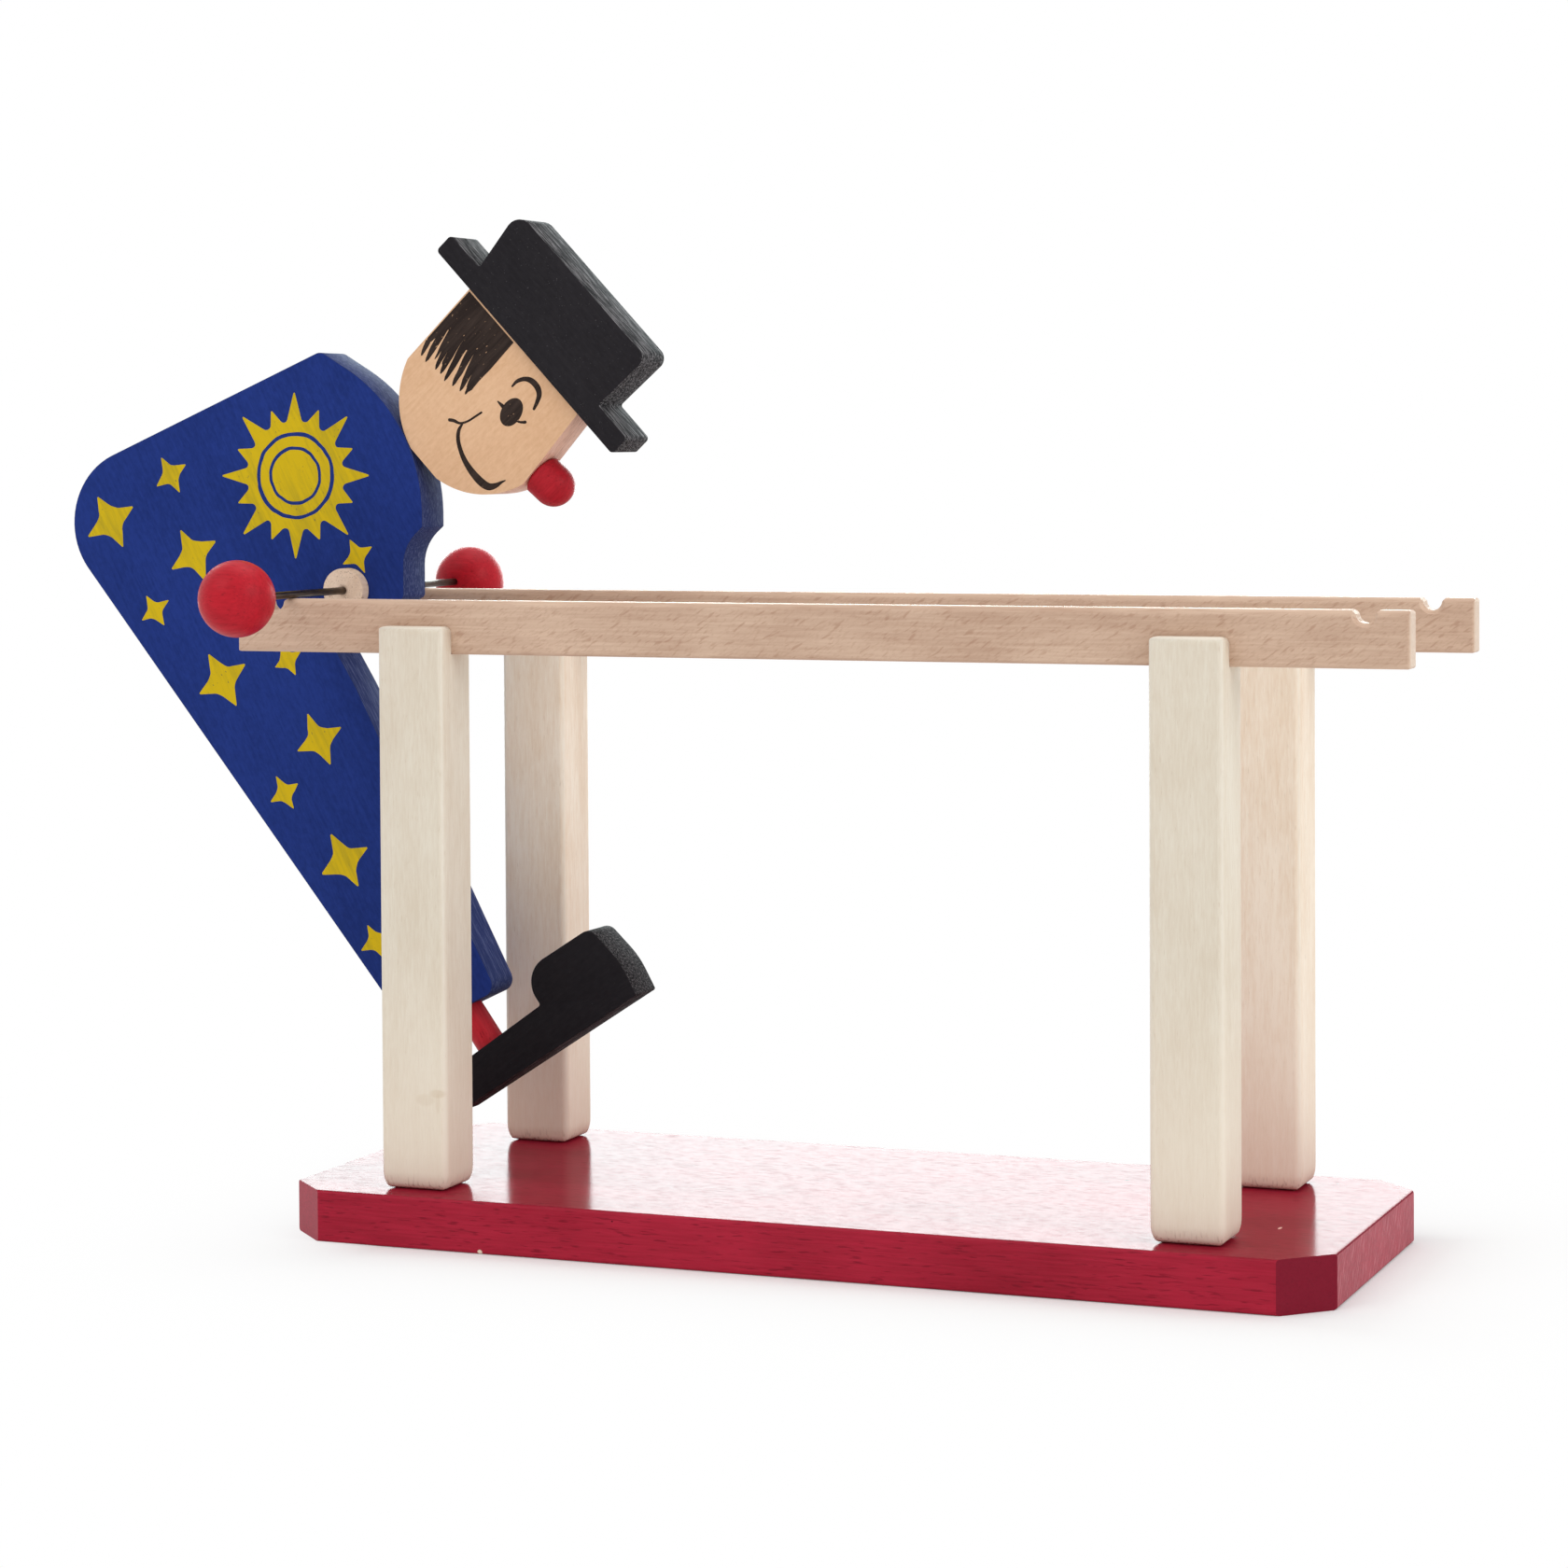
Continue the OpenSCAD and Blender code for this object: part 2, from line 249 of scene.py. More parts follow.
def post_wood(name, pale, dark):
    """Sanded maple: fine short lines up the post, a little cloudy, with a painted highlight where the
    edges round over and painted light toward the foot.
    """
    finish, tree, shader = finish_named(name, shine=0.25)
    lines = figure(tree, ALONG_Z, 0.11, length=9, scale=1700, detail=4, rough=0.65, distort=0.3)
    bands = figure(tree, ALONG_Z, 0.23, length=22, scale=480, detail=2, rough=0.5, distort=0.5)
    clouds = figure(tree, ALONG_Z, 0.41, length=2.5, scale=75)
    tone = mixed(tree, (lines, 0.45), (bands, 0.17), (clouds, 0.38))
    colour = tint(tree, between(tree, tone, 0.40, 0.61), pale, dark)
    dashes = scattered(tree, ALONG_Z, 0.57, length=7, scale=2400, low=0.66, high=0.76)
    colour = wash(tree, colour, dashes, 0.25, srgb(192, 168, 140))
    # Painted highlight: the colour turns paler where the edges round over.
    flat = plus(tree, facing(tree, "Y", 0.75, 0.98), facing(tree, "X", 0.75, 0.98))
    colour = tint(tree, between(tree, flat, 1.0, 0.2, 0.0, 0.5), colour, srgb(238, 231, 218))
    # Painted light: the wood is lighter and warmer toward the foot, standing for light thrown up from
    # the red base.
    painted_bounce = between(tree, height_up(tree), 80.0 * MM, 18.0 * MM, 0.0, 0.5)
    colour = tint(tree, painted_bounce, colour, srgb(248, 232, 212))
    for centre, reach, strength in KNOT:
        ragged = times(tree, mark(tree, centre, reach), between(tree, clouds, 0.35, 0.6, 0.5, 1.0))
        colour = wash(tree, colour, ragged, strength, srgb(186, 152, 106))
    # Open end grain shows where the foot rounds under.
    low = between(tree, height_up(tree), 17.5 * MM, 14.0 * MM)
    cracks = scattered(tree, ALONG_Z, 0.87, length=16, scale=1500, low=0.56, high=0.68)
    colour = wash(tree, colour, times(tree, low, cracks), 0.5, srgb(146, 108, 90))
    colour_and_grip(tree, shader, colour, lines, 0.6, 0.08)
    relief(tree, shader, less(tree, lines, times(tree, dashes, 0.4)), 0.25, 0.08)
    return finish


def bar_wood():
    """Sanded beech: slanting dark flecks on the flat sides, long ones where the edges round over."""
    finish, tree, shader = finish_named("natural_beech", shine=0.3)
    lines = figure(tree, ALONG_X, 0.37, length=22, scale=1300, detail=4, rough=0.6, distort=0.4)
    clouds = figure(tree, ALONG_X, 0.19, length=3, scale=75, distort=0.3)
    tone = mixed(tree, (lines, 0.5), (clouds, 0.5))
    colour = tint(tree, between(tree, tone, 0.38, 0.63), srgb(215, 185, 161), srgb(193, 160, 137))
    slant = (0.0, math.radians(-31), 0.0)
    slanting = scattered(
        tree, slant, 0.71, length=4.2, scale=1250, low=0.60, high=0.72, rough=0.35, distort=0.3)
    faint = scattered(
        tree, slant, 0.29, length=3.4, scale=2300, low=0.52, high=0.72, distort=0.3, most=0.5)
    lengthwise = scattered(
        tree, ALONG_X, 0.83, length=10, scale=1300, low=0.60, high=0.72, rough=0.35, most=0.6)
    flecks = tint(tree, facing(tree, "Y", 0.80, 0.97), lengthwise, larger(tree, slanting, faint))
    colour = wash(tree, colour, flecks, 0.42, srgb(160, 116, 90))
    # The tops are paler, a painted highlight, and the sawn ends are paler too.
    colour = wash(tree, colour, facing(tree, "Z", 0.85, 0.98), 0.5, srgb(236, 209, 187))
    colour = wash(tree, colour, facing(tree, "X", 0.6, 0.9), 0.7, srgb(226, 206, 186))
    colour_and_grip(tree, shader, colour, lines, 0.52, 0.08)
    relief(tree, shader, less(tree, lines, times(tree, flecks, 0.5)), 0.3, 0.12)
    return finish


def dowel_wood():
    """A beech dowel cut across, with fine pores, and darker in a ragged ring round the rod's hole."""
    finish, tree, shader = finish_named("bush_beech", shine=0.3)
    lines = figure(tree, ALONG_Y, 0.53, length=12, scale=1500, detail=4, rough=0.6, distort=0.3)
    clouds = figure(tree, ALONG_Y, 0.31, length=2, scale=190)
    tone = mixed(tree, (lines, 0.5), (clouds, 0.5))
    colour = tint(tree, between(tree, tone, 0.38, 0.64), srgb(241, 216, 194), srgb(224, 195, 170))
    pores = scattered(tree, ALONG_Y, 0.13, length=6, scale=2600, low=0.63, high=0.72)
    colour = wash(tree, colour, pores, 0.6, srgb(136, 104, 80))
    place = put(tree, "ShaderNodeTexCoord").outputs["Object"]
    across = on_vectors(tree, "MULTIPLY", place, (1.0, 0.0, 1.0))
    from_rod = on_vectors(tree, "DISTANCE", across, (AXLE.x, 0.0, AXLE.z), result="Value")
    ragged = plus(tree, from_rod, times(tree, less(tree, clouds, 0.5), 1.6 * MM))
    dark_ring = between(tree, ragged, 1.7 * MM, 1.0 * MM, 0.0, 0.6)
    colour = tint(tree, dark_ring, colour, srgb(126, 96, 76))
    colour_and_grip(tree, shader, colour, lines, 0.6, 0.08)
    relief(tree, shader, less(tree, lines, pores), 0.3, 0.1)
    return finish


# Small marks on the base board's lacquer: centre and reach in mm, and colour
BASE_MARKS = [
    ((66.4, 30.4, 13.5), (0.9, 0.5, 0.5), (60, 12, 24)),
    ((119.3, 44.6, 13.5), (0.5, 0.5, 0.5), (60, 12, 24)),
    ((-44.0, -53.8, 11.0), (0.4, 0.4, 0.3), (60, 12, 24)),
    ((-81.2, -54.0, 0.5), (0.8, 0.8, 0.8), (238, 222, 200)),
    ((119.6, -17.0, 13.5), (0.5, 1.6, 0.5), (236, 190, 180)),
]


def base_lacquer():
    """Red lacquer, polished on the top, which mirrors what stands behind it at a low angle."""
    finish, tree, shader = finish_named("red_lacquered_base", shine=0.0, coat_roughness=0.15)
    lines = figure(tree, ALONG_X, 0.47, length=26, scale=1700, detail=4, rough=0.6, distort=0.2)
    clouds = figure(tree, ALONG_X, 0.61, length=2.5, scale=55, rough=0.5)
    tone = mixed(tree, (lines, 0.5), (clouds, 0.5))
    colour = tint(tree, between(tree, tone, 0.38, 0.63), srgb(174, 38, 60), srgb(148, 29, 47))
    pores = scattered(tree, ALONG_X, 0.17, length=9, scale=2200, low=0.61, high=0.72)
    colour = wash(tree, colour, pores, 0.5, srgb(96, 14, 30))
    # The top's colour is darker, a painted shade, and its mirror is broken where a pore pulled the
    # lacquer in.
    top = facing(tree, "Z", 0.8, 0.95)
    colour = wash(tree, colour, top, 0.2, srgb(40, 4, 12))
    broken = figure(tree, ALONG_X, 0.73, length=4, scale=900, detail=4, rough=0.75)
    pits = between(tree, broken, 0.48, 0.62)
    polish = between(tree, pits, 0.0, 1.0, 0.285, 0.20)
    coat = times(tree, between(tree, top, 0.0, 1.0, 0.5, 1.0), polish)
    tree.links.new(coat, shader.inputs["Coat Weight"])
    # The ends are sawn across the grain, which takes up the lacquer and dries duller and streaked.
    end = facing(tree, "X", 0.82, 0.95)
    saw_turn = (0.0, math.radians(-60), math.radians(90))
    saw_marks = figure(tree, saw_turn, 0.35, length=9, scale=1500, rough=0.6)
    streaks = times(tree, end, between(tree, saw_marks, 0.50, 0.66))
    # Painted shade darkens the cut corner at the right, and a painted sheen lightens the one at the
    # left.
    to_right = looks_to(tree, "X")
    not_end = less(tree, 1.0, end)
    right_corner = times(tree, between(tree, to_right, 0.5, 0.65), not_end)
    left_corner = times(tree, between(tree, to_right, -0.5, -0.65), not_end)
    colour = wash(tree, colour, right_corner, 0.8, srgb(114, 24, 42))
    # The ends and the left corner take a paler tint: on the ends it is partly their duller lacquer and
    # partly a painted sheen, and on the left corner it is a painted sheen.
    duller_and_painted_sheen = mixed(tree, (end, 0.2), (left_corner, 0.18))
    colour = tint(tree, duller_and_painted_sheen, colour, srgb(198, 166, 172))
    colour = wash(tree, colour, streaks, 0.55, srgb(206, 136, 144))
    for centre, reach, shade in BASE_MARKS:
        colour = tint(tree, mark(tree, centre, reach), colour, srgb(*shade))
    colour_and_grip(tree, shader, colour, lines, 0.42, 0.06)
    relief(tree, shader, less(tree, lines, times(tree, pores, 0.5)), 0.2, 0.06)
    hollows = mixed(tree, (pores, 0.6), (pits, 0.4))
    relief(tree, shader, less(tree, lines, hollows), 0.2, 0.02, "Coat Normal")
    return finish


def red_lacquer(name, colour, dark, roughness, turn):
    """Satin red lacquer on turned wood, with rows of fine pores just showing through."""
    finish, tree, shader = finish_named(name, shine=0.1, coat=0.2, coat_roughness=0.3, coat_ior=1.25)
    lines = figure(tree, turn, 0.33, length=14, scale=1500, detail=4, rough=0.6, distort=0.3)
    clouds = figure(tree, turn, 0.21, length=1.5, scale=110)
    tone = mixed(tree, (lines, 0.5), (clouds, 0.5))
    colour = tint(tree, between(tree, tone, 0.38, 0.63), colour, dark)
    pores = scattered(tree, turn, 0.77, length=3.5, scale=2300, low=0.64, high=0.74)
    colour = wash(tree, colour, pores, 0.4, srgb(96, 14, 24))
    colour_and_grip(tree, shader, colour, lines, roughness, 0.06)
    relief(tree, shader, less(tree, lines, times(tree, pores, 0.6)), 0.22, 0.08)
    return finish


def stained_board(name, turn, face, face_dark, rim, edge, edge_pale, roughness, shine, specks):
    """Stain on a sawn board: nearly even on the faces, with pale fibres on the cut edges."""
    finish, tree, shader = finish_named(name, shine=shine)
    grain = figure(tree, turn, 0.43, length=18, scale=1300, detail=5, rough=0.62, distort=0.5)
    mottle = figure(tree, turn, 0.15, length=1.8, scale=900, detail=4, rough=0.6)
    clouds = figure(tree, turn, 0.67, length=1.6, scale=45, detail=2, rough=0.5)
    tone = mixed(tree, (grain, 0.3), (mottle, 0.4), (clouds, 0.3))
    on_face = tint(tree, between(tree, tone, 0.40, 0.61), face, face_dark)
    dust = scattered(
        tree, turn, 0.91, length=1, scale=2300, low=0.72, high=0.80, rough=0.5, most=specks)
    on_face = tint(tree, dust, on_face, edge_pale)
    eased_edge = times(tree, facing(tree, "Y", 0.2, 0.5), facing(tree, "Y", 0.995, 0.93))
    on_face = wash(tree, on_face, eased_edge, 0.7, rim)
    fibres = figure(tree, turn, 0.05, length=10, scale=1750, detail=4, rough=0.7, distort=0.3)
    on_edge = tint(tree, between(tree, fibres, 0.47, 0.62), edge, edge_pale)
    colour = tint(tree, facing(tree, "Y", 0.45, 0.8), on_edge, on_face)
    colour_and_grip(tree, shader, colour, grain, roughness, 0.07)
    relief(tree, shader, mixed(tree, (grain, 0.6), (mottle, 0.4)), 0.35, 0.1)
    return finish


def wire(name, colour, dark, turn, roughness):
    """Drawn steel with fine lines along it, and darker where hands have dulled it."""
    finish, tree, shader = finish_named(name, metallic=1.0)
    drawn = figure(tree, turn, 0.27, length=30, scale=3200, rough=0.6)
    dulled = figure(tree, turn, 0.39, length=2, scale=260, rough=0.6)
    tone = mixed(tree, (drawn, 0.5), (dulled, 0.5))
    colour = tint(tree, between(tree, tone, 0.38, 0.64), colour, dark)
    colour_and_grip(tree, shader, colour, drawn, roughness, 0.1)
    relief(tree, shader, drawn, 0.2, 0.02)
    return finish


def ink(name, turn, colour, worn, missed, wear):
    """Screen-printed ink: patchy along the wood's grain, with pinholes where it missed a pore."""
    finish, tree, shader = finish_named(name, shine=0.06)
    grain = figure(tree, turn, 0.43, length=12, scale=1100, detail=4, rough=0.6, distort=0.4)
    clouds = figure(tree, turn, 0.59, length=4, scale=150, rough=0.6)
    patchy = mixed(tree, (grain, 0.45), (clouds, 0.55))
    colour = tint(tree, between(tree, patchy, 0.46, 0.68, 0.0, wear), colour, worn)
    holes = scattered(tree, turn, 0.85, length=2.5, scale=1900, low=0.70, high=0.78, rough=0.5)
    colour = wash(tree, colour, holes, 0.8, missed)
    colour_and_grip(tree, shader, colour, grain, 0.55, 0.07)
    relief(tree, shader, less(tree, grain, holes), 0.25, 0.06)
    return finish


MAPLE = post_wood("pale_maple", srgb(231, 222, 205), srgb(221, 208, 188))
# A lighter, pinker copy of the maple for the back posts: painted light, for the red base's reflected
# glow and to make up for the shade they stand in.
BACK_POST_MAPLE_PAINTED_LIGHT = post_wood("back_post_maple_painted_light", srgb(249, 236, 218), srgb(237, 216, 192))
BEECH = bar_wood()
DOWEL = dowel_wood()
BASE_RED = base_lacquer()
RED = red_lacquer("red_lacquer", srgb(195, 31, 46), srgb(169, 24, 38), 0.45, ALONG_X)
DOWEL_RED = red_lacquer("red_dowel", srgb(190, 34, 47), srgb(162, 26, 38), 0.5, HEAD_GRAIN)
# A lighter copy of the dowel red for the leg: painted light that makes up for the shade the leg hangs
# in.
LEG_RED_PAINTED_LIGHT = red_lacquer("red_leg_painted_light", srgb(206, 44, 56), srgb(180, 34, 46), 0.5, BODY_GRAIN)
BLUE = stained_board(
    "blue_paint", BODY_GRAIN, face=srgb(36, 57, 131), face_dark=srgb(29, 48, 113),
    rim=srgb(44, 54, 88), edge=srgb(41, 52, 99), edge_pale=srgb(74, 84, 128),
    roughness=0.65, shine=0.05, specks=0.2)
BLACK = stained_board(
    "black_paint", HAT_GRAIN, face=srgb(46, 44, 47), face_dark=srgb(39, 37, 40),
    rim=srgb(49, 47, 49), edge=srgb(36, 35, 37), edge_pale=srgb(126, 124, 126),
    roughness=0.65, shine=0.02, specks=0.3)
SHOE_BLACK = stained_board(
    "black_paint_shoe", SHOE_GRAIN, face=srgb(39, 37, 40), face_dark=srgb(33, 31, 34),
    rim=srgb(42, 40, 42), edge=srgb(28, 26, 28), edge_pale=srgb(98, 95, 97),
    roughness=0.65, shine=0.01, specks=0.3)
SKIN = stained_board(
    "skin_stain", HEAD_GRAIN, face=srgb(234, 192, 154), face_dark=srgb(221, 176, 136),
    rim=srgb(230, 189, 157), edge=srgb(246, 203, 178), edge_pale=srgb(212, 164, 139),
    roughness=0.5, shine=0.2, specks=0.0)
ROD = wire("dark_steel", srgb(96, 84, 74), srgb(54, 46, 40), ALONG_Y, 0.34)
SCREW = wire("zinc_steel", srgb(196, 194, 190), srgb(150, 148, 144), ALONG_Z, 0.3)
YELLOW_INK = ink(
    "yellow_print", BODY_GRAIN, srgb(212, 181, 27), srgb(163, 145, 40), srgb(74, 80, 66), wear=0.75)
FACE_INK = ink(
    "face_print", HEAD_GRAIN, srgb(46, 37, 34), srgb(76, 63, 57), srgb(206, 164, 128), wear=0.7)


# Pieces

def dress(node, finish):
    """Gives a CAD node its finish."""
    mesh = frame["nodes"][node].data
    mesh.materials.clear()
    mesh.materials.append(finish)


def copy_of(node, finish):
    """A copy of a CAD node's mesh with its finish, and the same mesh opened for work and welded."""
    mesh = frame["nodes"][node].data.copy()
    mesh.materials.clear()
    mesh.materials.append(finish)
    work = bmesh.new()
    work.from_mesh(mesh)
    bmesh.ops.remove_doubles(work, verts=work.verts, dist=CAD_WELD)
    return mesh, work


def put_back(work, mesh, name):
    """Puts the worked shape back into its mesh, as a named object of the scene."""
    work.to_mesh(mesh)
    work.free()
    piece = bpy.data.objects.new(name, mesh)
    bpy.context.scene.collection.objects.link(piece)
    return piece


def smoothed(mesh):
    for face in mesh.polygons:
        face.use_smooth = True
    mesh.set_sharp_from_angle(angle=SHARP_TURN)


def rounded_foot(name, node, finish):
    """A post, copied from its CAD node with its foot rounded well under, standing for the node."""
    mesh, work = copy_of(node, finish)
    low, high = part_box(node)
    middle = (low + high) / 2
    half = (high - low) / 2
    rise = 4.8 * MM
    inset = 1.9 * MM
    on_the_cut = 0.001 * MM
    # The screw's hole up the middle of the post keeps its size.
    hole_share = 0.4
    for share in (0.06, 0.14, 0.24, 0.36, 0.5, 0.66, 0.82, 1.0):
        bmesh.ops.bisect_plane(
            work, geom=work.verts[:] + work.edges[:] + work.faces[:], dist=on_the_cut,
            plane_co=(0.0, 0.0, low.z + share * rise), plane_no=(0.0, 0.0, 1.0))
    for corner in work.verts:
        up = (corner.co.z - low.z) / rise
        out = corner.co - middle
        if up >= 1 or max(abs(out.x) / half.x, abs(out.y) / half.y) < hole_share:
            continue
        under = inset * (1 - math.sqrt(1 - (1 - up) ** 2))
        corner.co.x = middle.x + out.x * (1 - under / half.x)
        corner.co.y = middle.y + out.y * (1 - under / half.y)
    piece = put_back(work, mesh, name)
    smoothed(mesh)
    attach(piece, "stand")
    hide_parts(node)


def bake(rough, name):
    """The evaluated shape of an object as a plain mesh of its own; the object itself goes."""
    graph = bpy.context.evaluated_depsgraph_get()
    mesh = bpy.data.meshes.new_from_object(rough.evaluated_get(graph), depsgraph=graph)
    mesh.name = name
    piece = bpy.data.objects.new(name, mesh)
    bpy.context.scene.collection.objects.link(piece)
    bpy.data.objects.remove(rough)
    return piece


def eased(name, node, finish, width):
    """A board of the clown, copied from its CAD node with its edges eased, standing for the node."""
    mesh, work = copy_of(node, finish)
    flat_turn = math.radians(0.5)
    bmesh.ops.dissolve_limit(work, angle_limit=flat_turn, verts=work.verts, edges=work.edges)
    rough = put_back(work, mesh, name + "_rough")
    ease = rough.modifiers.new("ease", "BEVEL")
    ease.width = width * MM
    ease.segments = 3
    ease.limit_method = "ANGLE"
    ease.angle_limit = math.radians(32)
    ease.use_clamp_overlap = True
    ease.miter_outer = "MITER_ARC"
    piece = bake(rough, name)
    smoothed(piece.data)
    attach(piece, "acrobat")
    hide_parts(node)


# Prints
# A print is drawn flat, with x and y in the board's own plane from the axle. Its node tree gives it
# the thickness of the ink and lays it on both faces of the board.

def begin_print(name, sizes):
    """A print's node tree, with a named input for each size, and what those inputs give inside it."""
    tree = bpy.data.node_groups.new(name, "GeometryNodeTree")
    tree.interface.new_socket("Geometry", in_out="INPUT", socket_type="NodeSocketGeometry")
    for label, value in sizes.items():
        kind = "NodeSocketInt" if isinstance(value, int) else "NodeSocketFloat"
        entry = tree.interface.new_socket(label, in_out="INPUT", socket_type=kind)
        entry.default_value = value
    tree.interface.new_socket("Ink", in_out="INPUT", socket_type="NodeSocketMaterial")
    tree.interface.new_socket("Geometry", in_out="OUTPUT", socket_type="NodeSocketGeometry")
    given = tree.nodes.new("NodeGroupInput")
    return tree, {s.name: s for s in given.outputs if s.name}


def joined(tree, *parts):
    join = put(tree, "GeometryNodeJoinGeometry")
    for part in parts:
        tree.links.new(part, join.inputs[0])
    return join.outputs[0]


def realized(tree, shape):
    return put(tree, "GeometryNodeRealizeInstances", {"Geometry": shape}).outputs["Geometry"]


def moved(tree, shape, **how):
    """A shape shifted, turned or scaled, by the node's own names for these."""
    return put(tree, "GeometryNodeTransform", {"Geometry": shape, **how}).outputs["Geometry"]


def vector_of(tree, **parts):
    """A vector from its parts X, Y and Z, with 0 for one that isn't given."""
    return put(tree, "ShaderNodeCombineXYZ", parts).outputs[0]


def lay_ink(tree, flat, given):
    """Thickens a flat print, lays it on the front face and its mirror image on the back face."""
    depth = plus(tree, given["Proud"], given["Sunk"])
    raised = put(tree, "GeometryNodeExtrudeMesh", {
        "Mesh": flat, "Offset Scale": depth, "Individual": False})
    under = put(tree, "GeometryNodeFlipFaces", {"Mesh": flat})
    closed = put(tree, "GeometryNodeMergeByDistance", {
        "Geometry": joined(tree, raised.outputs["Mesh"], under.outputs["Mesh"]),
        "Distance": INK_WELD,
    }).outputs["Geometry"]
    seat = less(tree, given["Sunk"], given["Face"])
    front = moved(
        tree, closed, Translation=vector_of(tree, X=AXLE.x, Y=seat, Z=AXLE.z),
        Rotation=(math.radians(90), 0.0, 0.0))
    turned = moved(tree, front, Scale=(1.0, -1.0, 1.0))
    back = put(tree, "GeometryNodeFlipFaces", {"Mesh": turned}).outputs["Mesh"]
    inked = put(tree, "GeometryNodeSetMaterial", {
        "Geometry": realized(tree, joined(tree, front, back)), "Material": given["Ink"]})
    output = tree.nodes.new("NodeGroupOutput")
    tree.links.new(inked.outputs["Geometry"], output.inputs[0])


def position(tree):
    return put(tree, "GeometryNodeInputPosition").outputs[0]


def uneven(tree, flat, amount):
    """Shifts a flat outline a little from point to point, as a hand-cut screen does."""
    bumps_in_a_metre = 230.0
    wander = put(tree, "ShaderNodeTexNoise", {
        "Vector": position(tree), "Scale": bumps_in_a_metre, "Detail": 1.0})
    centred = on_vectors(tree, "SUBTRACT", wander.outputs["Color"], (0.5, 0.5, 0.5))
    offset = on_vectors(tree, "MULTIPLY", centred, vector_of(tree, X=amount, Y=amount))
    shifted = put(tree, "GeometryNodeSetPosition", {"Geometry": flat, "Offset": offset})
    return shifted.outputs["Geometry"]


def pointed_ring(tree, points, waist, tip, waist_round, tip_round):
    """A star's outline, and how much each of its points is to be rounded."""
    star = put(tree, "GeometryNodeCurveStar", {
        "Points": points, "Inner Radius": waist, "Outer Radius": tip})
    rounding = put(tree, "GeometryNodeSwitch", {
        "Switch": star.outputs["Outer Points"],
        "False": waist_round,
        "True": tip_round,
    }, input_type="FLOAT").outputs[0]
    return star.outputs["Curve"], rounding


def softened(tree, curve, radius):
    return put(tree, "GeometryNodeFilletCurve", {
        "Curve": curve,
        "Count": 5,
        "Radius": radius,
        "Limit Radius": True,
    }, mode="POLY").outputs["Curve"]


def filled(tree, curve):
    return put(tree, "GeometryNodeFillCurve", {"Curve": curve}, mode="TRIANGLES").outputs["Mesh"]


def attribute(tree, name):
    found = put(tree, "GeometryNodeInputNamedAttribute", {"Name": name}, data_type="FLOAT")
    return found.outputs["Attribute"]


def spread(tree, given, shape, turn, size):
    """A shape on every point of the drawing, turned in its plane and sized."""
    points = put(tree, "GeometryNodeMeshToPoints", {"Mesh": given["Geometry"]}).outputs["Points"]
    copies = put(tree, "GeometryNodeInstanceOnPoints", {
        "Points": points,
        "Instance": shape,
        "Rotation": vector_of(tree, Z=turn),
        "Scale": size,
    }).outputs["Instances"]
    return realized(tree, copies)


def star_tree():
    """Four-pointed stars on points that carry their reach and their turn."""
    tree, given = begin_print("four_point_stars", {
        "Face": BODY_FACE, "Proud": INK_PROUD, "Sunk": INK_SUNK, "Waist": 0.42, "Unevenness": 1.3 * MM})
    curve, radius = pointed_ring(
        tree, 4, waist=given["Waist"], tip=1.0, waist_round=0.55, tip_round=0.035)
    shape = filled(tree, softened(tree, curve, radius))
    flat = spread(tree, given, shape, attribute(tree, "turn"), attribute(tree, "reach"))
    lay_ink(tree, uneven(tree, flat, given["Unevenness"]), given)
    return tree


def sun_tree():
    """A plain sun: a disc with a line round it, in a ring of long and short rays."""
    tree, given = begin_print("sun", {
        "Face": BODY_FACE, "Proud": INK_PROUD, "Sunk": INK_SUNK, "Unevenness": 0.9 * MM,
        "Across": -16.2 * MM, "Up": 31.2 * MM, "Rays": 16, "Ray foot": 13.8 * MM, "Ray tip": 23.4 * MM,
        "Short rays": 0.83, "Ring": 12.0 * MM, "Disc": 10.9 * MM, "Line": 8.0 * MM,
        "Line width": 0.9 * MM})
    curve, radius = pointed_ring(
        tree, given["Rays"], waist=given["Ray foot"], tip=given["Ray tip"],
        waist_round=1.2 * MM, tip_round=0.25 * MM)
    # The outline's points are tips and feet by turns, so every second tip is one point in four.
    number = put(tree, "GeometryNodeInputIndex").outputs[0]
    in_four = put(tree, "ShaderNodeMath", {0: number, 1: 4.0}, operation="MODULO").outputs[0]
    short = put(tree, "FunctionNodeCompare", {
        "A": in_four, "B": 2.0, "Epsilon": 0.1}, data_type="FLOAT", operation="EQUAL").outputs[0]
    drawn_in = put(tree, "ShaderNodeVectorMath", {
        0: position(tree), "Scale": given["Short rays"]}, operation="SCALE").outputs[0]
    rays = put(tree, "GeometryNodeSetPosition", {
        "Geometry": curve, "Selection": short, "Position": drawn_in}).outputs["Geometry"]
    inside_line = less(tree, given["Line"], given["Line width"])
    circles = [
        put(tree, "GeometryNodeCurvePrimitiveCircle", {
            "Resolution": 72, "Radius": radius_of}, mode="RADIUS").outputs["Curve"]
        for radius_of in (given["Ring"], given["Disc"], given["Line"], inside_line)
    ]
    shape = filled(tree, joined(tree, softened(tree, rays, radius), *circles))
    placed = moved(tree, shape, Translation=vector_of(tree, X=given["Across"], Y=given["Up"]))
    lay_ink(tree, uneven(tree, placed, given["Unevenness"]), given)
    return tree


# How wide a strand of hair is on its way down, as a share of its root
STRAND_TAPER = [(0.0, 1.0), (0.3, 0.94), (0.6, 0.76), (0.85, 0.52), (0.96, 0.34), (1.0, 0.10)]
# The strands lean back from straight down by this, so that they fall away from the face.
STRAND_LEAN = math.radians(16)


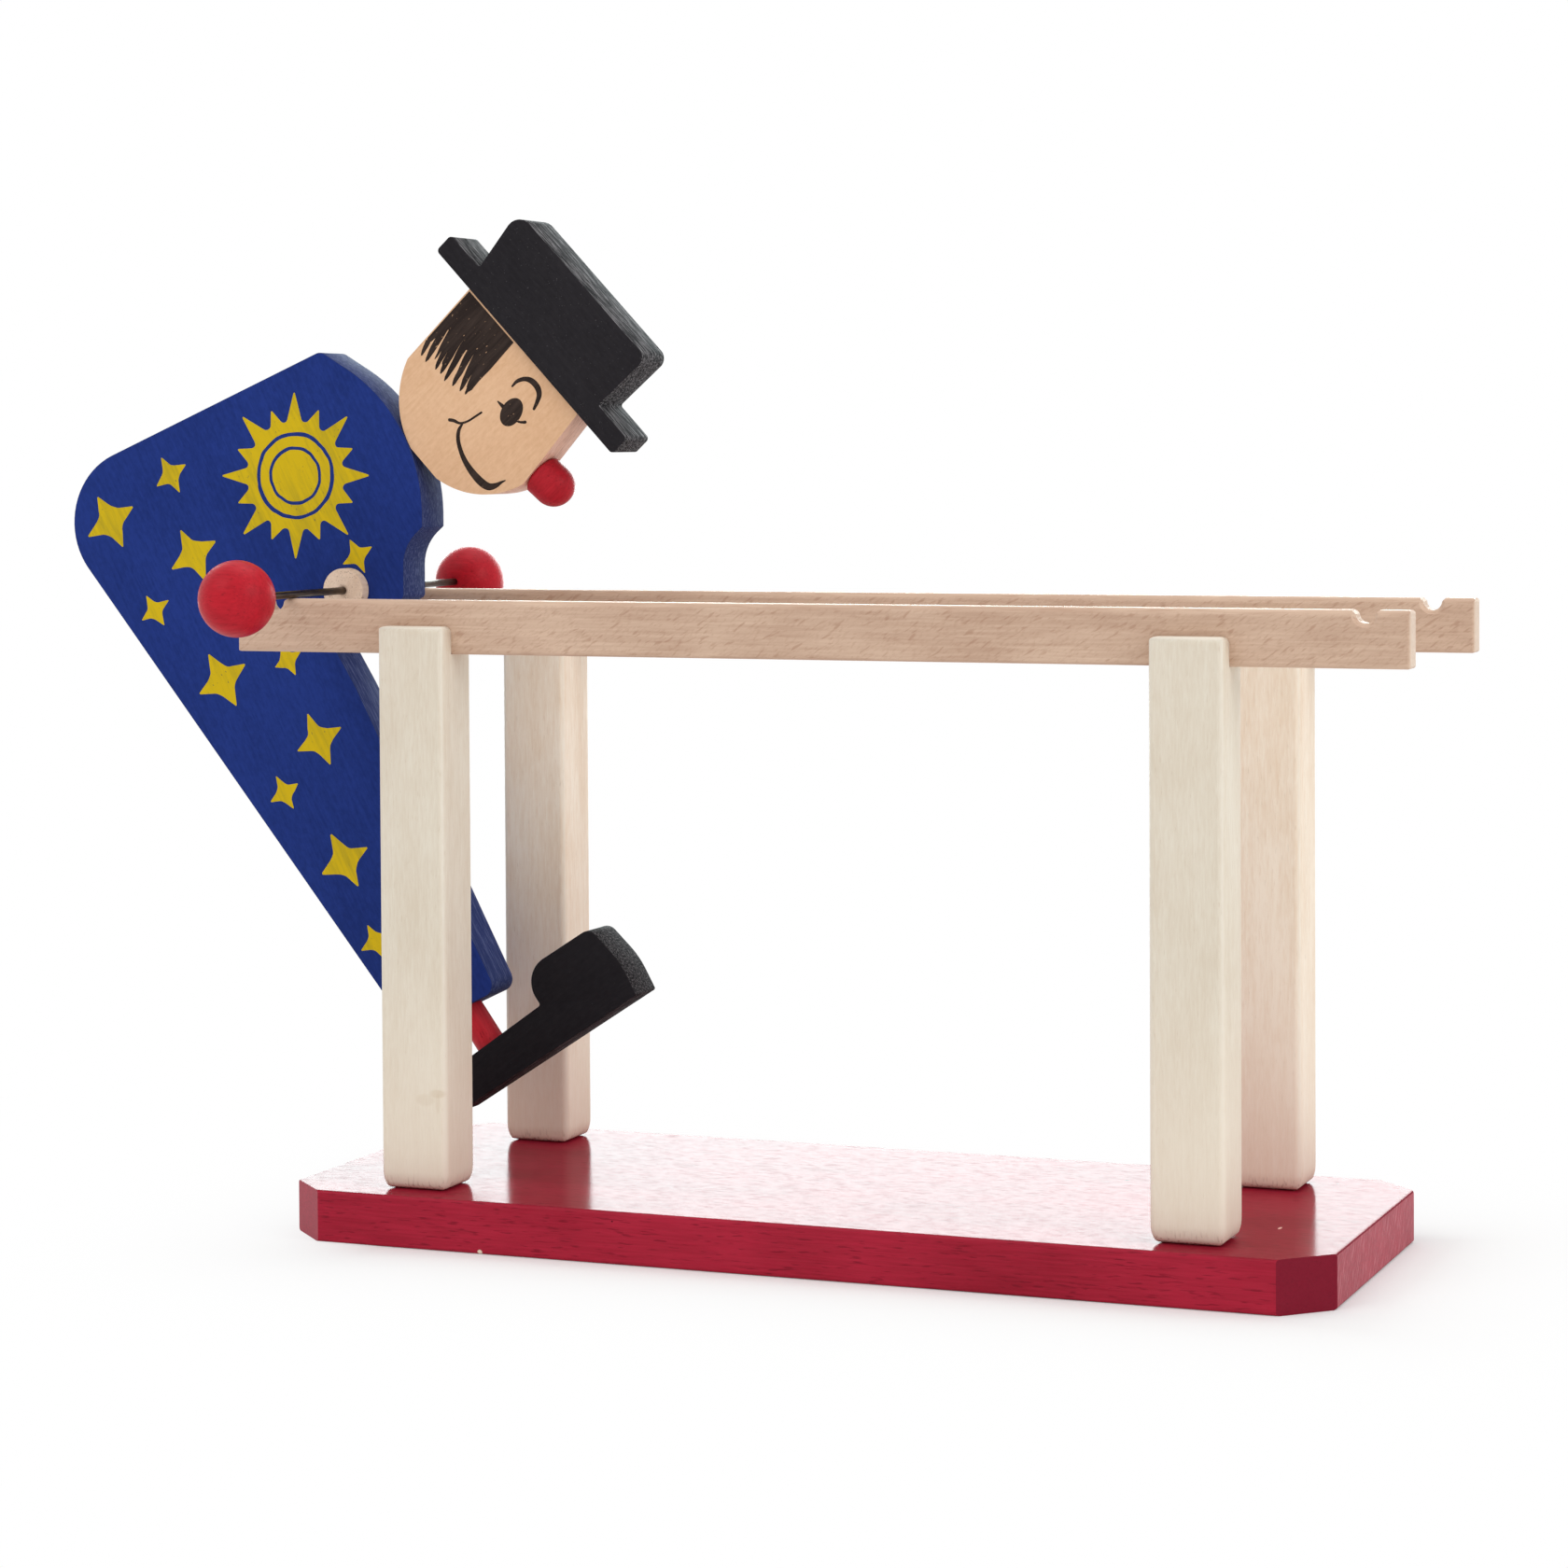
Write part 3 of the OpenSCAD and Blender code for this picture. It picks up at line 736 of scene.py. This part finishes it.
def hair_tree():
    """Combed strands hanging from points that carry their width and length, each a little different."""
    tree, given = begin_print("combed_hair", {
        "Face": HEAD_FACE, "Proud": INK_PROUD, "Sunk": INK_SUNK, "Lean": HEAD_TILT + STRAND_LEAN,
        "Lean spread": math.radians(2.2), "Seed": 7, "Unevenness": 0.5 * MM})
    sheet = put(tree, "GeometryNodeMeshGrid", {
        "Size X": 1.0, "Size Y": 1.0, "Vertices X": 2, "Vertices Y": 14}).outputs["Mesh"]
    here = put(tree, "ShaderNodeSeparateXYZ", {0: position(tree)})
    down = less(tree, 0.5, here.outputs["Y"])
    taper = put(tree, "ShaderNodeFloatCurve", {"Value": down})
    line = taper.mapping.curves[0].points
    line[0].location = STRAND_TAPER[0]
    line[1].location = STRAND_TAPER[-1]
    for along, wide in STRAND_TAPER[1:-1]:
        line.new(along, wide)
    taper.mapping.update()
    across = times(tree, here.outputs["X"], taper.outputs[0])
    shaped = vector_of(tree, X=across, Y=times(tree, down, -1.0))
    strand = put(tree, "GeometryNodeSetPosition", {
        "Geometry": sheet, "Position": shaped}).outputs["Geometry"]
    swing = put(tree, "FunctionNodeRandomValue", {
        "Min": less(tree, 0.0, given["Lean spread"]),
        "Max": given["Lean spread"],
        "Seed": given["Seed"],
    }, data_type="FLOAT").outputs[1]
    turn = plus(tree, given["Lean"], swing)
    size = vector_of(tree, X=attribute(tree, "width"), Y=attribute(tree, "length"), Z=1.0)
    flat = spread(tree, given, strand, turn, size)
    lay_ink(tree, uneven(tree, flat, given["Unevenness"]), given)
    return tree


def line_tree():
    """Shapes that are drawn as they are."""
    tree, given = begin_print("drawn_lines", {"Face": HEAD_FACE, "Proud": INK_PROUD, "Sunk": INK_SUNK})
    lay_ink(tree, given["Geometry"], given)
    return tree


def printed(name, flat, tree, finish):
    """Runs a print's tree on a flat drawing and leaves the result as a plain mesh on the clown."""
    rough = bpy.data.objects.new(name + "_rough", flat)
    bpy.context.scene.collection.objects.link(rough)
    step = rough.modifiers.new("print", "NODES")
    step.node_group = tree
    entry = next(s for s in tree.interface.items_tree if s.name == "Ink" and s.in_out == "INPUT")
    step[entry.identifier] = finish
    piece = bake(rough, name)
    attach(piece, "acrobat")


def drawing(name, points, faces=(), **values):
    """A flat mesh from points in mm, with a value for each point under each given name."""
    flat = bpy.data.meshes.new(name)
    flat.from_pydata([(x * MM, y * MM, z * MM) for x, y, z in points], [], list(faces))
    for key, column in values.items():
        layer = flat.attributes.new(key, "FLOAT", "POINT")
        layer.data.foreach_set("value", column)
    return flat


def on_head(x, y):
    """A point of the head's own frame, from the axle, in mm."""
    return (HEAD_AT.x + x * math.cos(HEAD_TILT) - y * math.sin(HEAD_TILT),
            HEAD_AT.y + x * math.sin(HEAD_TILT) + y * math.cos(HEAD_TILT))


def smooth_line(marks, steps):
    """Points of a smooth curve through marks of x, y and width, so many to each stretch."""
    spine = [Vector(m) for m in marks]
    spine = [2 * spine[0] - spine[1]] + spine + [2 * spine[-1] - spine[-2]]
    line = []
    for k in range(1, len(spine) - 2):
        a, b, c, d = spine[k - 1:k + 3]
        for s in range(steps):
            t = s / steps
            line.append(0.5 * (2 * b + (c - a) * t + (2 * a - 5 * b + 4 * c - d) * t ** 2
                               + (3 * b - a - 3 * c + d) * t ** 3))
    line.append(spine[-2])
    return line


def brush(marks):
    """The two sides of a tapered stroke with round ends, through marks of x, y and width."""
    line = smooth_line(marks, steps=7)
    stations = []
    for k, here in enumerate(line):
        run = (line[min(k + 1, len(line) - 1)] - line[max(k - 1, 0)]).xy.normalized()
        stations.append((here.xy, run, here.z / 2))
    caps = [math.radians(a) for a in (80, 60, 40, 20)]
    middle, run, half = stations[0]
    first = [(middle - run * half * math.sin(a), run, half * math.cos(a)) for a in caps]
    middle, run, half = stations[-1]
    last = [(middle + run * half * math.sin(a), run, half * math.cos(a)) for a in reversed(caps)]
    left = []
    right = []
    for middle, run, half in first + stations + last:
        side = Vector((-run.y, run.x)) * half
        left.append(middle + side)
        right.append(middle - side)
    return left, right


# Strokes of the face: x and y in the head's own frame, and the width of the brush there, in mm
BROW = [(3.2, 8.8, 0.55), (3.25, 10.8, 1.0), (4.4, 12.85, 1.25), (6.2, 13.9, 1.6), (8.5, 13.95, 1.7),
        (10.25, 13.05, 1.5), (11.3, 11.2, 1.15), (12.0, 9.25, 0.75)]
UPPER_LASH = [(3.25, 2.9, 0.4), (4.5, 3.0, 0.9), (6.0, 3.15, 1.25), (7.2, 3.4, 1.3)]
LOWER_LASH = [(9.2, 2.6, 0.6), (10.1, 3.0, 0.58), (11.8, 3.9, 0.62), (12.8, 4.95, 0.85)]
CHEEK = [(-3.1, -10.95, 0.9), (-2.05, -10.15, 0.9), (-0.3, -9.3, 0.66), (0.9, -7.25, 0.58),
         (1.6, -4.45, 0.58), (2.0, -2.7, 0.58)]
SMILE = [(0.3, -8.9, 0.58), (0.9, -10.95, 1.0), (2.6, -12.8, 1.15), (5.25, -14.25, 1.25),
         (8.3, -15.25, 1.5), (11.8, -15.7, 1.9), (15.4, -15.6, 2.2), (17.9, -14.8, 2.0),
         (19.1, -13.1, 1.4), (19.6, -11.35, 0.75), (20.05, -10.1, 0.33)]
EYE_AT = (8.07, 3.85)
EYE_HALF = (2.95, 4.15)
EYE_LEAN = math.radians(11)
HAIR_PATCH = [(-5.0, 17.1), (-24.05, 17.1), (-23.8, 6.0), (-23.7, 2.6), (-23.6, -0.6), (-22.7, -1.8),
              (-22.1, -0.2), (-21.9, 3.6), (-21.0, 5.6), (-19.6, 4.4), (-17.9, 6.1), (-16.2, 7.3),
              (-14.6, 5.2), (-12.8, 5.8), (-11.3, 7.1), (-9.8, 4.8), (-8.6, 5.8), (-7.2, 2.2),
              (-5.9, -0.2), (-4.7, -1.8), (-4.35, -0.6), (-4.6, 2.5), (-4.55, 7.4), (-4.9, 15.0)]
# Tips of the strands, and how long and wide each is
STRANDS = [(-21.6, -5.3, 4.6, 1.5), (-20.3, -2.9, 8.0, 1.2), (-19.0, -5.4, 12.4, 2.2),
           (-17.7, -2.8, 10.6, 1.3), (-16.3, -4.8, 12.9, 2.2), (-15.1, -2.2, 10.2, 1.4),
           (-13.9, -4.3, 12.4, 2.3), (-12.6, -2.6, 10.8, 1.2), (-11.4, -4.7, 13.0, 2.2),
           (-10.2, -1.8, 10.4, 1.5), (-9.0, -4.1, 12.6, 2.3), (-7.9, -1.5, 9.8, 1.3),
           (-6.8, -3.5, 10.4, 2.1), (-5.8, -1.2, 6.4, 1.2), (-4.95, -2.9, 5.6, 1.5)]
# Shapes that cross lie at heights of their own, in mm, so that no two of their faces share a plane.
FACE_STEP = 0.003
HAIR_LIFT = 0.002
HAIR_STEP = 0.0013


def face_drawing():
    """Brow, lashes, cheek, smile, eye and the solid part of the hair, each a step above the last."""
    points = []
    faces = []

    def lay(outline, level):
        """Adds an outline's points and says at which number they start."""
        start = len(points)
        points.extend((*on_head(x, y), FACE_STEP * level) for x, y in outline)
        return start

    strokes = (BROW, UPPER_LASH, LOWER_LASH, CHEEK, SMILE)
    for level, marks in enumerate(strokes):
        left, right = brush(marks)
        start = lay(left + right, level)
        count = len(left)
        for k in range(count - 1):
            faces.append((start + count + k, start + count + k + 1, start + k + 1, start + k))
    lean = Matrix.Rotation(EYE_LEAN, 2)
    rim_points = 40
    rim = [lean @ Vector((EYE_HALF[0] * math.cos(a), EYE_HALF[1] * math.sin(a)))
           for a in (math.tau * k / rim_points for k in range(rim_points))]
    eye = [(EYE_AT[0] + r.x, EYE_AT[1] + r.y) for r in rim]
    for level, outline in enumerate((eye, HAIR_PATCH), len(strokes)):
        start = lay(outline, level)
        faces.append(tuple(range(start, start + len(outline))))
    return drawing("face_drawing", points, faces)


def hair_drawing():
    """One point for the root of each strand; long strands are broad, and the ones between are fine."""
    points = []
    for k, (x, y, length, width) in enumerate(STRANDS):
        root = on_head(x - length * math.sin(STRAND_LEAN), y + length * math.cos(STRAND_LEAN))
        # Steps of five through seven heights keep neighbours apart.
        points.append((*root, HAIR_LIFT + HAIR_STEP * (k * 5 % 7)))
    return drawing(
        "hair_drawing", points,
        length=[length * MM for x, y, length, width in STRANDS],
        width=[width * MM for x, y, length, width in STRANDS])


# Each star: across and up from the axle, the reach of its points, and its turn in degrees
STARS = [
    (-74.6, 18.5, 8.7, 30), (-55.2, 31.4, 5.7, 32), (-48.3, 9.3, 8.3, 29), (-60.6, -6.3, 5.3, 33),
    (2.7, 9.3, 5.2, 28), (-39.5, -25.1, 8.8, 31), (-19.0, -19.3, 5.0, 30), (-9.6, -41.0, 8.0, 27),
    (-20.4, -55.8, 5.2, 32), (-2.1, -74.0, 8.4, 30), (7.4, -95.8, 5.6, 29),
]


def star_drawing():
    """One point for the middle of each star."""
    return drawing(
        "star_drawing", [(x, y, 0.0) for x, y, reach, turn in STARS],
        reach=[reach * MM for x, y, reach, turn in STARS],
        turn=[math.radians(turn) for x, y, reach, turn in STARS])


CAD_FINISHES = {
    "base_board": BASE_RED,
    "front_bar": BEECH,
    "back_bar": BEECH,
    "post_screws": SCREW,
    "axle_rod": ROD,
    "front_ball": RED,
    "back_ball": RED,
    "axle_bush": DOWEL,
    "neck_dowel": DOWEL,
    "hat_dowel": DOWEL,
    "nose": DOWEL_RED,
    "leg_dowel": LEG_RED_PAINTED_LIGHT,
}

for row, wood in (("front", MAPLE), ("back", BACK_POST_MAPLE_PAINTED_LIGHT)):
    for end in ("left", "right"):
        rounded_foot(f"{row}_{end}_post_rounded", f"{row}_{end}_post", wood)
for node, finish in CAD_FINISHES.items():
    dress(node, finish)
eased("clown_body", "body_board", BLUE, 0.45)
eased("clown_head", "head", SKIN, 0.35)
eased("clown_hat", "hat", BLACK, 0.45)
eased("clown_shoe", "shoe", SHOE_BLACK, 0.45)
printed("star_print", star_drawing(), star_tree(), YELLOW_INK)
printed("sun_print", drawing("sun_drawing", []), sun_tree(), YELLOW_INK)
printed("face_print", face_drawing(), line_tree(), FACE_INK)
printed("hair_print", hair_drawing(), hair_tree(), FACE_INK)


# Stage, lamps and camera

def seen_directly(tree):
    """1 for what the camera or a mirror sees, and 0 for the light that a surface passes on."""
    ray = put(tree, "ShaderNodeLightPath")
    return plus(tree, ray.outputs["Is Camera Ray"], ray.outputs["Is Glossy Ray"])


def pale_floor():
    """A pale floor with the toy's own soft shadow, which the camera sees run out into white."""
    half = 6.0
    level = -0.05 * MM
    mesh = bpy.data.meshes.new("floor")
    mesh.from_pydata(
        [(-half, -half, level), (half, -half, level), (half, half, level), (-half, half, level)],
        [], [(0, 1, 2, 3)])
    floor = bpy.data.objects.new("floor", mesh)
    bpy.context.scene.collection.objects.link(floor)
    finish = bpy.data.materials.new("floor")
    finish.use_nodes = True
    tree = finish.node_tree
    tree.nodes.clear()
    # The camera sees the floor's own light and shadow most in a box under the toy, and half as much in
    # each next stretch away from it. More light comes from the left and the back, so the box lies a
    # little the other way.
    box_middle = (0.02, -0.006, 0.0)
    box_half = (0.13, 0.054, 0.0)
    stretch = 14 * MM
    most = 0.85
    place = put(tree, "ShaderNodeTexCoord").outputs["Object"]
    beside = on_vectors(tree, "ABSOLUTE", on_vectors(tree, "SUBTRACT", place, box_middle))
    beyond = on_vectors(tree, "SUBTRACT", beside, box_half)
    outside = on_vectors(tree, "MAXIMUM", beyond, (0.0, 0.0, 0.0))
    away = on_vectors(tree, "LENGTH", outside, result="Value")
    stretches = times(tree, away, 1 / stretch)
    fade = put(tree, "ShaderNodeMath", {0: 0.5, 1: stretches}, operation="POWER").outputs[0]
    share = times(tree, seen_directly(tree), less(tree, 1.0, times(tree, fade, most)))
    lit = put(tree, "ShaderNodeBsdfDiffuse", {"Color": (0.9, 0.9, 0.9, 1)})
    white = put(tree, "ShaderNodeEmission", {"Color": (1, 1, 1, 1), "Strength": 1.0})
    blend = put(tree, "ShaderNodeMixShader", {0: share, 1: lit.outputs[0], 2: white.outputs[0]})
    output = put(tree, "ShaderNodeOutputMaterial")
    tree.links.new(blend.outputs[0], output.inputs["Surface"])
    mesh.materials.append(finish)


def room_light():
    """Even light from all round, in front of a background that is white to the eye."""
    world = bpy.data.worlds.new("room")
    bpy.context.scene.world = world
    world.use_nodes = True
    tree = world.node_tree
    tree.nodes.clear()
    around = put(tree, "ShaderNodeBackground", {"Color": (1, 1, 1, 1), "Strength": 0.7})
    behind = put(tree, "ShaderNodeBackground", {"Color": (1, 1, 1, 1), "Strength": 1.0})
    blend = put(tree, "ShaderNodeMixShader", {
        0: seen_directly(tree), 1: around.outputs[0], 2: behind.outputs[0]})
    output = put(tree, "ShaderNodeOutputWorld")
    tree.links.new(blend.outputs[0], output.inputs["Surface"])


def lamp(name, where, width, height, power):
    """A soft rectangular lamp, turned to the middle of the toy and hidden from the camera."""
    toy_middle = Vector((0.0, 0.0, 0.1))
    data = bpy.data.lights.new(name, "AREA")
    data.shape = "RECTANGLE"
    data.size = width
    data.size_y = height
    data.energy = power
    made = bpy.data.objects.new(name, data)
    bpy.context.scene.collection.objects.link(made)
    made.location = where
    made.rotation_euler = (toy_middle - Vector(where)).to_track_quat("-Z", "Y").to_euler()
    made.visible_camera = False
    return made


def camera():
    """Stands where the photographer's camera stood; the lens sees a square frame."""
    stand = Vector((359.12, -955.07, 207.83)) * MM
    yaw = math.radians(21.52)
    pitch = math.radians(1.69)
    roll = math.radians(-0.33)
    # The photograph's width, the lens's focal length and the middle of its view from the top, in pixels
    width = 1680
    focal = 4198.99
    view_middle = 597.61
    sensor = 36.0
    level = math.cos(pitch)
    ahead = Vector((-math.sin(yaw) * level, math.cos(yaw) * level, -math.sin(pitch)))
    right = Vector((math.cos(yaw), math.sin(yaw), 0.0))
    up = right.cross(ahead)
    right_rolled = math.cos(roll) * right + math.sin(roll) * up
    up_rolled = -math.sin(roll) * right + math.cos(roll) * up
    data = bpy.data.cameras.new("camera")
    data.sensor_width = sensor
    data.lens = sensor * focal / width
    data.shift_y = (view_middle - width / 2) / width
    data.clip_start = 0.01
    data.clip_end = 50.0
    made = bpy.data.objects.new("camera", data)
    bpy.context.scene.collection.objects.link(made)
    turn = Matrix((right_rolled, up_rolled, -ahead)).transposed()
    made.matrix_world = Matrix.Translation(stand) @ turn.to_4x4()
    bpy.context.scene.camera = made


pale_floor()
room_light()
lamp("key", where=(-0.7, -1.1, 1.3), width=0.9, height=0.9, power=4.6)
lamp("fill", where=(1.4, -0.4, 0.9), width=0.9, height=0.9, power=6.6)
lamp("top", where=(0.1, 0.3, 1.5), width=1.0, height=1.0, power=4.2)
# A bright sheet behind the toy that the polished base board mirrors; it adds no light to the colours.
sheet = lamp("back_sheet", where=(-0.72, 1.83, 0.5), width=2.3, height=1.2, power=70)
sheet.visible_diffuse = False
sheet.data.color = (0.85, 1.0, 1.0)
camera()
bpy.context.scene.view_settings.view_transform = "Standard"
